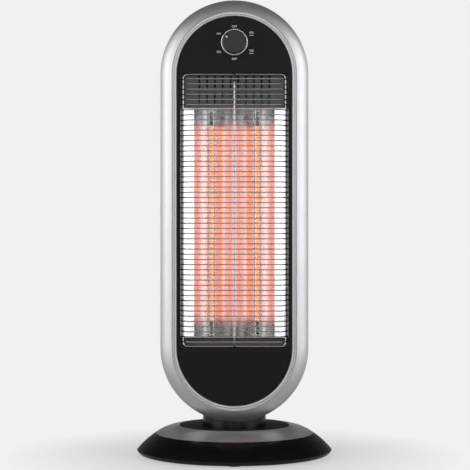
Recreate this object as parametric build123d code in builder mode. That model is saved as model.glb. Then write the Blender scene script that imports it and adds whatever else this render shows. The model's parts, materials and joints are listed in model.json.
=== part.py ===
from build123d import *
import os
from math import hypot, radians, sin, sqrt

os.makedirs("parts", exist_ok=True)

# Everything is in millimetres. The heater stands on z = 0 with the swing axis on Z.
# Its front faces -Y, so "forward" below is a distance along -Y from the swing axis.

# Overall size of the standing heater
base_diameter = 280.0
head_width = 210.0
head_height = 598.0
head_bottom = 52.0
head_front = 52.0
head_back = 48.0

# Clearances
seat_gap = 0.2
turn_gap = 0.4
pin_gap = 0.05
screw_gap = 0.1

# Casing
casing_wall = 2.5
casing_seam = 20.0
back_round = 14.0
bezel_band = 16.5
bezel_drop = 12.0
bezel_groove = 3.5
bezel_lip = 3.0
lip_height = 2.5
panel_recess = 6.0
panel_thickness = 3.0
panel_ledge = 2.7

# Window and the guard in front of it
window_side_margin = 28.0
window_top_margin = 103.0
window_bottom_margin = 105.0
window_wall = 1.3
window_depth = 13.0
guard_wire = 1.6
guard_frame_wire = 3.0
guard_stay_wire = 2.5
guard_lines = 54
guard_bend_inset = 13.0
guard_setback = 2.0
guard_return = 11.5
guard_corner = 7.0

# Vent and sill that fill the window above and below the reflector
vent_height = 50.0
vent_thickness = 3.0
vent_slot_width = 2.6
vent_slot_height = 19.0
vent_slot_pitch = 11.1
vent_slot_columns = 10
vent_row_pitch = 24.0
sill_height = 14.5

# Heating elements
tube_spacing = 66.0
tube_diameter = 10.0
tube_glass = 1.0
tube_stand_off = 17.0
trough_width = 53.0
trough_depth = 25.0
ridge_width = 4.0
reflector_sheet = 1.0
filament_width = 4.4
filament_thickness = 0.6
cap_diameter = 14.0
cap_length = 18.0
cap_bore_depth = 6.0
cap_reach = 12.0
shield_sheet = 1.0
shield_gap = 9.5

# Control knob
knob_above_window = 43.0
knob_diameter = 37.8
knob_ring_width = 2.4
knob_length = 13.0
knob_wall = 2.4
shaft_diameter = 6.0
switch_width = 34.0
switch_depth = 18.5
bush_diameter = 9.6
nut_across = 18.0
pointer_angle = 150.0

# Rear finger grip
grip_width = 100.0
grip_opening = 34.0
grip_depth = 22.0
grip_wall = 2.0

# Neck and swing bearing
neck_diameter = 90.6
neck_wall = 3.0
neck_flange = 3.0
spigot_radius = 30.0
spigot_wall = 6.0
cable_hole = 12.0
bearing_level = 30.0
bearing_sheet = 2.0
bearing_radius = 74.0
slide_ring_thickness = 1.0
swing_plate_radius = 38.0
swing_plate_sheet = 2.0

# Swing drive: a crank pin in a radial slot turns the neck to and fro
swing_limit = 35.0
motor_offset = 16.0
motor_diameter = 50.0
motor_height = 14.5
crank_thickness = 4.0
crank_pin_diameter = 5.0
slot_clearance = 0.8

# Base
base_top = 43.5
base_wall = 3.0
base_lift = 2.0
rim_height = 8.5
rim_tuck = 9.5
dome_edge_inset = 27.0
dome_edge_height = 32.3
top_disc_diameter = 158.0
top_disc_thickness = 2.8
top_disc_shelf = 17.0
trim_thickness = 2.4
bottom_plate = 2.5
ballast_thickness = 4.0
ballast_inset = 42.0
foot_diameter = 18.0
foot_inset = 26.0
foot_count = 6
post_diameter = 8.0
post_inset = 35.0

# Tip-over switch
plunger_x = -62.0
plunger_y = -50.0
plunger_diameter = 7.0
plunger_travel = 2.0
plunger_flange = 12.0
spring_wire = 0.8
spring_turns = 4.0
lever_arm = 18.0
button_arm = 14.0
lever_thickness = 2.0

# Mains entry
gland_height = 11.0
gland_diameter = 12.0
gland_bore = 7.2
wire_diameter = 2.6

# Worked-out places
end_radius = head_width / 2
head_centre = head_bottom + head_height / 2
rim_straight = head_height - head_width
rim_bend = head_centre - rim_straight / 2
base_radius = base_diameter / 2
dome_edge_radius = base_radius - dome_edge_inset
ballast_radius = base_radius - ballast_inset
foot_circle = base_radius - foot_inset
post_circle = base_radius - post_inset
neck_radius = neck_diameter / 2
panel_front = head_front - panel_recess
panel_back = panel_front - panel_thickness
panel_inset = bezel_band + bezel_groove + bezel_lip
window_back = panel_front - panel_thickness - window_depth
window_width = head_width - 2 * window_side_margin
window_top = head_bottom + head_height - window_top_margin
window_bottom = head_bottom + window_bottom_margin
window_height = window_top - window_bottom
window_centre = (window_top + window_bottom) / 2
knob_height = window_top + knob_above_window
grip_height = knob_height
reflector_top = window_top - vent_height
reflector_bottom = window_bottom + sill_height
trough_centre = tube_spacing / 2 - 1.5
trough_edge = window_back - 12.0
trough_floor = trough_edge - trough_depth - reflector_sheet
tube_forward = trough_floor + tube_stand_off
shield_front = trough_floor - shield_gap
plate_reach = window_width / 2 + window_wall


def head_plane(forward):
    """Plane through the head's centre, facing the front, some way forward of the axis."""
    return Plane(origin=(0, -forward, head_centre), x_dir=(1, 0, 0), z_dir=(0, -1, 0))


def front_plane(forward, height=0.0):
    """Plane facing the front whose local origin is on the swing axis at a height."""
    return Plane(origin=(0, -forward, height), x_dir=(1, 0, 0), z_dir=(0, -1, 0))


def level(height):
    """Horizontal plane at a height above the floor."""
    return Plane.XY.offset(height)


def saddle_height(x):
    """Height of the head's round underside at a distance x from its middle."""
    return head_bottom + end_radius - sqrt(end_radius**2 - x**2)


def save(part, name):
    """Label a finished piece and write it to its own file."""
    part.label = name
    export_step(part, "parts/" + name + ".step")


# Bezel: one section carried round the oval rim, a quarter of it mirrored twice
case_screw_inset = 13.0
case_screw_below_bend = 8.0
case_screw_x = end_radius - case_screw_inset
case_screw_z = rim_straight / 2 - case_screw_below_bend
case_screw_spots = [
    (x, z) for x in (-case_screw_x, case_screw_x) for z in (-case_screw_z, 0.0, case_screw_z)
]
groove_floor = head_front - 5.0
lip_crest = groove_floor + lip_height
ledge_edge = panel_inset + 0.5 + panel_ledge

with BuildPart() as front_bezel:
    # section on the right side, carried up to the middle and round to the lowest point
    rim_start = Plane(origin=(end_radius, 0, rim_bend), x_dir=(-1, 0, 0), z_dir=(0, 0, 1))
    with BuildSketch(rim_start) as rim_section:
        # local x runs inwards from the rim, local y runs forwards
        with BuildLine():
            side_top = head_front - bezel_drop
            band_inner = (bezel_band, head_front - 0.6)
            Line((0, casing_seam), (0, side_top))
            band_rise = (bezel_band * 0.45, head_front - bezel_drop * 0.43)
            ThreePointArc((0, side_top), band_rise, band_inner)
            Polyline(
                band_inner,
                (bezel_band + 0.5, groove_floor),
                (bezel_band + bezel_groove - 0.3, groove_floor),
                (bezel_band + bezel_groove + 0.3, lip_crest - 0.5),
                (bezel_band + bezel_groove + 1.0, lip_crest),
                (panel_inset - 0.5, lip_crest - 0.3),
                (panel_inset, lip_crest - 1.0),
                (panel_inset + 0.5, panel_back),
                (ledge_edge, panel_back),
                (ledge_edge, panel_back - casing_wall),
                (bezel_band + 1.5, panel_back - casing_wall),
                (bezel_band + 1.5, groove_floor - casing_wall),
                (bezel_band - 0.5, groove_floor - casing_wall),
                (bezel_band - 2.0, head_front - 1.5 - casing_wall),
            )
            ThreePointArc(
                (bezel_band - 2.0, head_front - 1.5 - casing_wall),
                (band_rise[0] + 1.2, band_rise[1] + 0.2 - casing_wall),
                (casing_wall, side_top - 0.8),
            )
            Polyline(
                (casing_wall, side_top - 0.8),
                (casing_wall, casing_seam),
                (0, casing_seam),
            )
        make_face()
    extrude(amount=rim_straight / 2)
    revolve(rim_section.sketch, axis=Axis((0, 0, rim_bend), (0, 1, 0)), revolution_arc=90)
    mirror(about=Plane.YZ)
    mirror(about=level(head_centre))
    with BuildSketch(head_plane(casing_seam)):
        with Locations(*case_screw_spots):
            Circle(5.6)
    extrude(amount=groove_floor - casing_seam - 1.0)
    with BuildSketch(head_plane(casing_seam)):
        with Locations(*case_screw_spots):
            Circle(1.8)
    extrude(amount=14.0, mode=Mode.SUBTRACT)
save(front_bezel.part, "front_bezel")

# Front panel: a flat oval plate with the window and a wall round it
with BuildPart() as front_panel:
    panel_fit = panel_inset + 0.5 + seat_gap
    with BuildSketch(head_plane(panel_back)):
        SlotOverall(head_height - 2 * panel_fit, head_width - 2 * panel_fit, rotation=90)
    extrude(amount=panel_thickness)
    with BuildSketch(front_plane(window_back, window_centre)):
        RectangleRounded(window_width + 2 * window_wall, window_height + 2 * window_wall, 4 + window_wall)
    extrude(amount=panel_back - window_back)
    with BuildSketch(front_plane(window_back, window_centre)):
        RectangleRounded(window_width, window_height, 4)
    extrude(amount=panel_front - window_back, mode=Mode.SUBTRACT)
    with BuildSketch(front_plane(panel_back, knob_height)):
        Circle(bush_diameter / 2 + screw_gap)
    extrude(amount=panel_thickness, mode=Mode.SUBTRACT)
    chamfer(front_panel.faces().sort_by(Axis.Y)[0].outer_wire().edges(), length=0.5)
save(front_panel.part, "front_panel")

# Vent grille: two rows of upright slots, stiffened by a rib between the rows
vent_low = reflector_top + reflector_sheet + seat_gap
vent_high = window_top + window_wall
vent_centre = (vent_low + vent_high) / 2
with BuildPart() as vent_grille:
    with BuildSketch(front_plane(window_back - seat_gap - vent_thickness, vent_centre)):
        Rectangle(2 * plate_reach, vent_high - vent_low)
    extrude(amount=vent_thickness)
    with BuildSketch(front_plane(window_back - seat_gap, vent_centre)):
        Rectangle(window_width - 8, 2.4)
        with GridLocations(vent_slot_pitch, 1, vent_slot_columns - 1, 1):
            Rectangle(2.0, vent_height - 8)
    extrude(amount=1.5)
    with BuildSketch(front_plane(window_back - seat_gap - vent_thickness, vent_centre)):
        with GridLocations(vent_slot_pitch, vent_row_pitch, vent_slot_columns, 2):
            Rectangle(vent_slot_width, vent_slot_height)
    extrude(amount=vent_thickness, mode=Mode.SUBTRACT)
save(vent_grille.part, "vent_grille")

# Sill below the reflector: a plate with a ledge that leans back
with BuildPart() as window_sill:
    sill_centre = window_bottom + sill_height / 2
    with BuildSketch(Plane.YZ.offset(-plate_reach)):
        with BuildLine():
            sill_front = -(window_back - seat_gap)
            Polyline(
                (sill_front, window_bottom - window_wall),
                (sill_front, window_bottom + sill_height * 0.5),
                (sill_front + 5.0, window_bottom + sill_height - reflector_sheet - seat_gap),
                (sill_front + 7.0, window_bottom + sill_height - reflector_sheet - seat_gap),
                (sill_front + 3.0, window_bottom + sill_height * 0.5 - 1.0),
                (sill_front + 3.0, window_bottom - window_wall),
                close=True,
            )
        make_face()
    extrude(amount=2 * plate_reach)
save(window_sill.part, "window_sill")

# Guard: level wires whose ends lean back to a rounded frame, and one upright stay
guard_face = head_front - guard_setback
flat_half = window_width / 2 - guard_bend_inset
guard_end_x = window_width / 2 - seat_gap - 0.7
guard_end_f = guard_face - guard_return
lean_length = hypot(guard_end_x - flat_half, guard_return)
lean_x = (guard_end_x - flat_half) / lean_length
lean_f = guard_return / lean_length
weld_reach = (guard_wire + guard_frame_wire) / 2
weld_in = 2.0
frame_x = guard_end_x - weld_in * lean_x - weld_reach * lean_f
frame_f = guard_end_f + weld_in * lean_f - weld_reach * lean_x
frame_half_height = window_height / 2 - seat_gap - guard_frame_wire / 2 + 0.15
guard_pitch = 2 * frame_half_height / (guard_lines - 1)

with BuildPart() as guard:
    # frame
    with BuildLine(front_plane(frame_f, window_centre)):
        frame_outline = FilletPolyline(
            (frame_x, -frame_half_height),
            (frame_x, frame_half_height),
            (-frame_x, frame_half_height),
            (-frame_x, -frame_half_height),
            radius=guard_corner,
            close=True,
        )
    with BuildSketch(Plane(origin=frame_outline @ 0, z_dir=frame_outline % 0)):
        Circle(guard_frame_wire / 2)
    sweep(path=frame_outline)

    # upright stay behind the level wires
    stay_f = guard_face - (guard_wire + guard_stay_wire) / 2
    stay_low_f = frame_f + (guard_frame_wire + guard_stay_wire) / 2
    stay_half = frame_half_height - 2.0
    stay_lean = guard_pitch * 1.5
    with BuildLine(Plane.YZ.offset(0)):
        stay_line = Polyline(
            (-stay_low_f, window_centre - stay_half - 2.0),
            (-stay_f, window_centre - stay_half + stay_lean),
            (-stay_f, window_centre + stay_half - stay_lean),
            (-stay_low_f, window_centre + stay_half + 2.0),
        )
    with BuildSketch(Plane(origin=stay_line @ 0, z_dir=stay_line % 0)):
        Circle(guard_stay_wire / 2)
    sweep(path=stay_line, transition=Transition.RIGHT)

with BuildPart() as guard_line:
    with BuildLine(Plane.XY):
        level_wire = Polyline(
            (-guard_end_x, -guard_end_f),
            (-flat_half, -guard_face),
            (flat_half, -guard_face),
            (guard_end_x, -guard_end_f),
        )
    with BuildSketch(Plane(origin=level_wire @ 0, z_dir=level_wire % 0)):
        Circle(guard_wire / 2)
    sweep(path=level_wire, transition=Transition.RIGHT)

guard_lines_up = [
    window_centre - frame_half_height + guard_pitch * (n + 1) for n in range(guard_lines - 2)
]
guard_wires = [Pos(0, 0, z) * guard_line.part for z in guard_lines_up]
guard_part = Compound(label="guard", children=[guard.part] + guard_wires)
export_step(guard_part, "parts/guard.step")

# Reflector: bright sheet bent into two troughs with wide side flanges
with BuildPart() as reflector:
    with BuildSketch(level(reflector_bottom)):
        with BuildLine():
            edge_x = trough_centre + trough_width / 2
            lip_f = window_back - reflector_sheet / 2
            ridge = (ridge_width / 2, -(trough_edge - 1.0))
            floor = (trough_centre, -(trough_floor + reflector_sheet / 2))
            for side in (-1, 1):
                Polyline(
                    (side * plate_reach, -lip_f),
                    (side * (plate_reach - 4.5), -lip_f),
                    (side * edge_x, -(trough_edge + 1.0)),
                )
                ThreePointArc(
                    (side * edge_x, -(trough_edge + 1.0)),
                    (side * floor[0], floor[1]),
                    (side * ridge[0], ridge[1]),
                )
            Line((-ridge[0], ridge[1]), (ridge[0], ridge[1]))
        trace(line_width=reflector_sheet)
    extrude(amount=reflector_top - reflector_bottom)
save(reflector.part, "reflector")

# End plates that close both troughs, each with holes for the tubes
tube_spots = [(-tube_spacing / 2, -tube_forward), (tube_spacing / 2, -tube_forward)]
plate_front = window_back - 1.0
with BuildPart() as reflector_ends:
    for bottom in (reflector_bottom - reflector_sheet, reflector_top):
        with BuildSketch(level(bottom)):
            with Locations((0, -(plate_front + shield_front) / 2)):
                Rectangle(2 * plate_reach - 8, plate_front - shield_front)
            with Locations(*tube_spots):
                Circle(tube_diameter / 2 + turn_gap, mode=Mode.SUBTRACT)
        extrude(amount=reflector_sheet)
save(reflector_ends.part, "reflector_ends")

# Quartz tubes, carbon filaments and ceramic caps
tube_low = reflector_bottom - cap_reach - cap_bore_depth - 1.5
tube_high = reflector_top + cap_reach + cap_bore_depth + 1.5
for side, (x, y) in zip(("left", "right"), tube_spots):
    with BuildPart() as quartz_tube:
        with BuildSketch(level(tube_low)):
            with Locations((x, y)):
                Circle(tube_diameter / 2)
                Circle(tube_diameter / 2 - tube_glass, mode=Mode.SUBTRACT)
        extrude(amount=tube_high - tube_low)
    save(quartz_tube.part, "quartz_tube_" + side)

    with BuildPart() as filament:
        with BuildSketch(level(tube_low)):
            with Locations((x, y)):
                Rectangle(filament_width, filament_thickness, rotation=25)
        extrude(amount=tube_high - tube_low)
    save(filament.part, "carbon_filament_" + side)

cap_low = tube_low + cap_bore_depth - cap_length
cap_high = tube_high - cap_bore_depth
with BuildPart() as tube_caps:
    for bottom, bore in ((cap_low, tube_low), (cap_high, cap_high)):
        with BuildSketch(level(bottom)):
            with Locations(*tube_spots):
                Circle(cap_diameter / 2)
        extrude(amount=cap_length)
        with BuildSketch(level(bore)):
            with Locations(*tube_spots):
                Circle(tube_diameter / 2 + pin_gap)
        extrude(amount=cap_bore_depth, mode=Mode.SUBTRACT)
save(tube_caps.part, "tube_caps")

# Heat shield: a sheet pan behind the reflector that carries the tubes at its two flanges
flange_low = cap_low + cap_length / 2
flange_high = cap_high + cap_length / 2
shield_half = plate_reach - 4.0
flange_front = tube_forward + cap_diameter / 2 + 4.0
boss_inset = 9.0
boss_heights = (reflector_bottom + 4.5 - head_centre, reflector_top + 12.0 - head_centre)
boss_spots = [(x, z) for x in (boss_inset - shield_half, shield_half - boss_inset) for z in boss_heights]
with BuildPart() as heat_shield:
    with BuildSketch(front_plane(shield_front - shield_sheet)):
        with Locations((0, (flange_low + flange_high) / 2)):
            Rectangle(2 * shield_half, flange_high - flange_low)
    extrude(amount=shield_sheet)
    for height in (flange_low, flange_high - shield_sheet):
        with BuildSketch(level(height)):
            with Locations((0, -(flange_front + shield_front) / 2)):
                Rectangle(2 * shield_half, flange_front - shield_front)
            with Locations(*tube_spots):
                Circle(cap_diameter / 2 + screw_gap, mode=Mode.SUBTRACT)
        extrude(amount=shield_sheet)
    with BuildSketch(head_plane(shield_front - shield_sheet)):
        with Locations(*boss_spots):
            Circle(1.8 + screw_gap)
    extrude(amount=shield_sheet, mode=Mode.SUBTRACT)
save(heat_shield.part, "heat_shield")

# Spring clips that hold each cap against its flange
with BuildPart() as tube_clips:
    for bottom in (flange_low - 1.5, flange_high):
        with BuildSketch(level(bottom)):
            with Locations(*tube_spots):
                Circle(cap_diameter / 2 + 2.2)
                Circle(cap_diameter / 2 + pin_gap, mode=Mode.SUBTRACT)
        extrude(amount=1.5)
save(tube_clips.part, "tube_clips")

# Rear cover: a deep oval shell with rounded back edges, vents, bosses and screw tunnels
back_inside = casing_wall - head_back
screw_seat = casing_seam - 6.0
neck_screw_x = 20.0
neck_pad = 4.0
neck_screw_spots = [(x, y) for x in (-neck_screw_x, neck_screw_x) for y in (-10.0, 26.0)]
neck_ceiling = head_bottom - 4.5
with BuildPart() as rear_cover:
    with BuildSketch(head_plane(casing_seam)):
        SlotOverall(head_height, head_width, rotation=90)
    extrude(amount=-(casing_seam + head_back))
    fillet(rear_cover.faces().sort_by(Axis.Y)[-1].edges(), radius=back_round)
    offset(amount=-casing_wall, openings=rear_cover.faces().sort_by(Axis.Y)[0])
    # tongue that locates the bezel
    with BuildSketch(head_plane(casing_seam - 4.0)):
        tongue_out = casing_wall + seat_gap
        SlotOverall(head_height - 2 * tongue_out, head_width - 2 * tongue_out, rotation=90)
        SlotOverall(
            head_height - 2 * tongue_out - 3, head_width - 2 * tongue_out - 3, rotation=90,
            mode=Mode.SUBTRACT,
        )
    extrude(amount=7.0)
    with BuildSketch(head_plane(casing_seam - 4.0)):
        SlotOverall(head_height - 2 * casing_wall + 0.4, head_width - 2 * casing_wall + 0.4, rotation=90)
        SlotOverall(
            head_height - 2 * casing_wall - 1, head_width - 2 * casing_wall - 1, rotation=90,
            mode=Mode.SUBTRACT,
        )
    extrude(amount=3.0)
    # posts for the case screws and bosses for the heat shield
    with BuildSketch(head_plane(-head_back + casing_wall / 2)):
        with Locations(*case_screw_spots):
            Circle(6.2)
    extrude(amount=casing_seam + head_back - casing_wall / 2)
    with BuildSketch(head_plane(-head_back + casing_wall / 2)):
        with Locations(*boss_spots):
            Circle(5.0)
    extrude(amount=head_back - casing_wall / 2 + shield_front - shield_sheet)
    with BuildSketch(head_plane(-head_back)):
        with Locations(*case_screw_spots):
            Circle(4.2)
    extrude(amount=head_back + screw_seat, mode=Mode.SUBTRACT)
    with BuildSketch(head_plane(screw_seat)):
        with Locations(*case_screw_spots):
            Circle(1.8 + screw_gap)
    extrude(amount=casing_seam - screw_seat, mode=Mode.SUBTRACT)
    # pads inside the bottom for the neck screws
    with BuildSketch(level(saddle_height(neck_screw_x + neck_pad) + 0.3)):
        with Locations(*neck_screw_spots):
            Circle(neck_pad)
    extrude(amount=12.0)
    with BuildSketch(level(head_bottom - 1.0)):
        with Locations(*neck_screw_spots):
            Circle(2.0)
        Circle(cable_hole)
    extrude(amount=12.0, mode=Mode.SUBTRACT)
    # opening for the finger grip
    with BuildSketch(front_plane(-head_back, grip_height)):
        RectangleRounded(grip_width + 2 * seat_gap, grip_opening + 2 * seat_gap, 10)
    extrude(amount=casing_wall, mode=Mode.SUBTRACT)
    # warm-air vents, high and low on the back
    with BuildSketch(front_plane(-head_back, window_centre)):
        for block in (-150.0, 110.0):
            with Locations((0, block)):
                with GridLocations(52, 11, 2, 7):
                    SlotOverall(44, 4.5)
    extrude(amount=casing_wall, mode=Mode.SUBTRACT)
save(rear_cover.part, "rear_cover")

# Finger grip: a cup let into the back with a flange inside the cover
with BuildPart() as grip_cup:
    with BuildSketch(front_plane(-head_back, grip_height)):
        RectangleRounded(grip_width, grip_opening, 10 - seat_gap)
    extrude(amount=grip_depth, taper=4)
    with BuildSketch(front_plane(-head_back + casing_wall + seat_gap, grip_height)):
        RectangleRounded(grip_width + 8, grip_opening + 8, 13)
    extrude(amount=grip_wall)
    with BuildSketch(front_plane(-head_back, grip_height)):
        RectangleRounded(grip_width - 2 * grip_wall, grip_opening - 2 * grip_wall, 10 - seat_gap - grip_wall)
    extrude(amount=grip_depth - grip_wall, taper=4, mode=Mode.SUBTRACT)
save(grip_cup.part, "grip_cup")

# Long screws that draw the bezel and the rear cover together
with BuildPart() as case_screws:
    with BuildSketch(head_plane(screw_seat - 2.0)):
        with Locations(*case_screw_spots):
            Circle(3.8)
    extrude(amount=2.0)
    with BuildSketch(head_plane(screw_seat)):
        with Locations(*case_screw_spots):
            Circle(1.8 - pin_gap)
    extrude(amount=casing_seam - screw_seat + 12.0)
save(case_screws.part, "case_screws")

# Screws through the heat shield into its bosses
with BuildPart() as shield_screws:
    with BuildSketch(head_plane(shield_front)):
        with Locations(*boss_spots):
            Circle(3.5)
    extrude(amount=2.0)
    with BuildSketch(head_plane(shield_front - shield_sheet)):
        with Locations(*boss_spots):
            Circle(1.8)
    extrude(amount=shield_sheet)
save(shield_screws.part, "shield_screws")

# Thermal cut-out on the back of the heat shield
with BuildPart() as thermal_cutout:
    cutout_back = shield_front - shield_sheet
    cutout_height = reflector_top - 27.0
    with BuildSketch(front_plane(cutout_back, cutout_height)):
        Circle(8.0)
    extrude(amount=-5.0)
    with BuildSketch(front_plane(cutout_back - 5.0, cutout_height)):
        with Locations((-4.0, 0), (4.0, 0)):
            Rectangle(0.8, 5.0)
    extrude(amount=-4.0)
    with BuildSketch(front_plane(cutout_back, cutout_height)):
        Rectangle(26, 6)
    extrude(amount=-0.8)
save(thermal_cutout.part, "thermal_cutout")

# Terminal block on the back of the heat shield
block_height = window_bottom + 3.0
with BuildPart() as head_terminal_block:
    with BuildSketch(front_plane(cutout_back, block_height)):
        Rectangle(44, 16)
    extrude(amount=-13.0)
    with BuildSketch(front_plane(cutout_back - 13.0, block_height)):
        with GridLocations(11, 1, 4, 1):
            Circle(2.2)
    extrude(amount=4.0, mode=Mode.SUBTRACT)
save(head_terminal_block.part, "head_terminal_block")

# Rotary switch: square body, threaded bush through the panel and a nut under the knob
switch_front = panel_back - seat_gap
bush_front = panel_front + 2.8
with BuildPart() as rotary_switch:
    with BuildSketch(front_plane(switch_front - switch_depth, knob_height)):
        RectangleRounded(switch_width, switch_width, 4)
    extrude(amount=switch_depth)
    with BuildSketch(front_plane(switch_front, knob_height)):
        Circle(bush_diameter / 2)
    extrude(amount=bush_front - switch_front)
    with BuildSketch(front_plane(switch_front - switch_depth + 3.0, knob_height)):
        Circle(shaft_diameter / 2 + pin_gap)
    extrude(amount=bush_front - switch_front + switch_depth - 3.0, mode=Mode.SUBTRACT)
    with BuildSketch(front_plane(switch_front - switch_depth, knob_height)):
        with PolarLocations(12, 6):
            Rectangle(5.0, 0.8)
    extrude(amount=-5.0)
save(rotary_switch.part, "rotary_switch")

with BuildPart() as switch_nut:
    with BuildSketch(front_plane(panel_front, knob_height)):
        RegularPolygon(nut_across / 2, 6)
        Circle(bush_diameter / 2 + pin_gap, mode=Mode.SUBTRACT)
    extrude(amount=2.2)
save(switch_nut.part, "switch_nut")

# Knob: hollow cap on a hub, bright ring round its foot, pointer mark and shaft
knob_radius = knob_diameter / 2
cap_radius = knob_radius - knob_ring_width
knob_back = panel_front + 0.5
knob_face = knob_back + knob_length
shaft_back = switch_front - switch_depth + 3.0 + turn_gap
with BuildPart() as knob_cap:
    with BuildSketch(front_plane(knob_back, knob_height)):
        Circle(cap_radius)
    extrude(amount=knob_length, taper=3)
    fillet(knob_cap.faces().sort_by(Axis.Y)[0].edges(), radius=1.4)
    with BuildSketch(front_plane(knob_back, knob_height)):
        Circle(cap_radius - knob_wall)
        Circle(shaft_diameter / 2 + 2.2, mode=Mode.SUBTRACT)
    extrude(amount=knob_length - knob_wall, mode=Mode.SUBTRACT)
    with BuildSketch(front_plane(knob_back, knob_height)):
        Circle(cap_radius - knob_wall)
    extrude(amount=bush_front + turn_gap - knob_back, mode=Mode.SUBTRACT)
    with BuildSketch(front_plane(knob_back, knob_height)):
        Circle(shaft_diameter / 2 + pin_gap)
    extrude(amount=knob_length - knob_wall, mode=Mode.SUBTRACT)
save(knob_cap.part, "knob_cap")

ring_thickness = 3.5
with BuildPart() as knob_ring:
    with BuildSketch(front_plane(knob_back, knob_height)):
        Circle(knob_radius)
        Circle(cap_radius + pin_gap, mode=Mode.SUBTRACT)
    extrude(amount=ring_thickness)
    fillet(knob_ring.faces().sort_by(Axis.Y)[0].edges(), radius=0.8)
save(knob_ring.part, "knob_ring")

with BuildPart() as knob_pointer:
    with BuildSketch(front_plane(knob_face, knob_height)):
        with PolarLocations(cap_radius - 3.6, 1, start_angle=pointer_angle):
            Rectangle(3.0, 1.8)
    extrude(amount=0.4)
save(knob_pointer.part, "knob_pointer")

with BuildPart() as switch_shaft:
    with BuildSketch(front_plane(shaft_back, knob_height)):
        Circle(shaft_diameter / 2)
    extrude(amount=knob_face - knob_wall - shaft_back)
save(switch_shaft.part, "switch_shaft")

# Neck: glossy column with a flange below, a spigot for the bearing and a saddle on top
slide_top = bearing_level + bearing_sheet + slide_ring_thickness
flange_bottom = slide_top + seat_gap
swing_plate_top = bearing_level - 0.3
neck_rise = 62.0
with BuildPart() as head_space:
    with BuildSketch(head_plane(head_front + 10)):
        SlotOverall(head_height + 2 * seat_gap, head_width + 2 * seat_gap, rotation=90)
    extrude(amount=-(head_front + 10 + head_back + seat_gap))
    fillet(head_space.faces().sort_by(Axis.Y)[-1].edges(), radius=back_round + seat_gap)

with BuildPart() as neck_column:
    with BuildSketch(Plane.XZ):
        with BuildLine():
            Polyline(
                (spigot_radius - spigot_wall, swing_plate_top),
                (spigot_radius, swing_plate_top),
                (spigot_radius, flange_bottom),
                (neck_radius + 6.0, flange_bottom),
                (neck_radius + 6.0, flange_bottom + neck_flange),
                (neck_radius, flange_bottom + neck_flange),
                (neck_radius, neck_rise),
                (cable_hole, neck_rise),
                (cable_hole, neck_ceiling),
                (neck_radius - neck_wall, neck_ceiling),
                (neck_radius - neck_wall, flange_bottom + neck_flange + 1.0),
                (spigot_radius - spigot_wall, flange_bottom + neck_flange + 1.0),
                close=True,
            )
        make_face()
    revolve(axis=Axis.Z)
    add(head_space.part, mode=Mode.SUBTRACT)
    with BuildSketch(level(neck_ceiling)):
        with Locations(*neck_screw_spots):
            Circle(2.0 + screw_gap)
    extrude(amount=12.0, mode=Mode.SUBTRACT)
    with BuildSketch(level(swing_plate_top)):
        with PolarLocations(spigot_radius - spigot_wall / 2, 4, start_angle=45):
            Circle(1.25)
    extrude(amount=6.0, mode=Mode.SUBTRACT)
save(neck_column.part, "neck_column")

with BuildPart() as neck_screws:
    with BuildSketch(level(neck_ceiling - 2.0)):
        with Locations(*neck_screw_spots):
            Circle(3.6)
    extrude(amount=2.0)
    with BuildSketch(level(neck_ceiling)):
        with Locations(*neck_screw_spots):
            Circle(2.0 - pin_gap)
    extrude(amount=head_bottom + 10.0 - neck_ceiling)
save(neck_screws.part, "neck_screws")

# Swing plate under the bearing: its radial slot takes the crank pin
crank_radius = motor_offset * sin(radians(swing_limit))
pin_radius = crank_pin_diameter / 2
slot_half = pin_radius + slot_clearance
with BuildPart() as swing_plate:
    with BuildSketch(level(swing_plate_top - swing_plate_sheet)):
        Circle(swing_plate_radius)
        with Locations((0, motor_offset)):
            SlotOverall(2 * (crank_radius + slot_half), 2 * slot_half, rotation=90, mode=Mode.SUBTRACT)
        with Locations((0, -24.0)):
            SlotOverall(26, 10, mode=Mode.SUBTRACT)
        with PolarLocations(spigot_radius - spigot_wall / 2, 4, start_angle=45):
            Circle(1.25 + screw_gap, mode=Mode.SUBTRACT)
    extrude(amount=swing_plate_sheet)
save(swing_plate.part, "swing_plate")

with BuildPart() as swing_screws:
    with BuildSketch(level(swing_plate_top - swing_plate_sheet - 1.2)):
        with PolarLocations(spigot_radius - spigot_wall / 2, 4, start_angle=45):
            Circle(2.4)
    extrude(amount=1.2)
    with BuildSketch(level(swing_plate_top - swing_plate_sheet)):
        with PolarLocations(spigot_radius - spigot_wall / 2, 4, start_angle=45):
            Circle(1.25 - pin_gap)
    extrude(amount=swing_plate_sheet + 5.0)
save(swing_screws.part, "swing_screws")

# Bearing plate and slide ring that carry the neck's flange
bearing_screw_circle = bearing_radius - 6.0
with BuildPart() as bearing_plate:
    with BuildSketch(level(bearing_level)):
        Circle(bearing_radius)
        Circle(spigot_radius + turn_gap, mode=Mode.SUBTRACT)
        with PolarLocations(bearing_screw_circle, 4):
            Circle(1.5 + screw_gap, mode=Mode.SUBTRACT)
    extrude(amount=bearing_sheet)
save(bearing_plate.part, "bearing_plate")

with BuildPart() as slide_ring:
    with BuildSketch(level(bearing_level + bearing_sheet)):
        Circle(neck_radius + 5.0)
        Circle(spigot_radius + turn_gap, mode=Mode.SUBTRACT)
    extrude(amount=slide_ring_thickness)
save(slide_ring.part, "slide_ring")

with BuildPart() as bearing_screws:
    with BuildSketch(level(bearing_level - 2.0)):
        with PolarLocations(bearing_screw_circle, 4):
            Circle(3.4)
    extrude(amount=2.0)
    with BuildSketch(level(bearing_level)):
        with PolarLocations(bearing_screw_circle, 4):
            Circle(1.5 - pin_gap)
    extrude(amount=bearing_sheet + 4.0)
save(bearing_screws.part, "bearing_screws")

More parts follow.
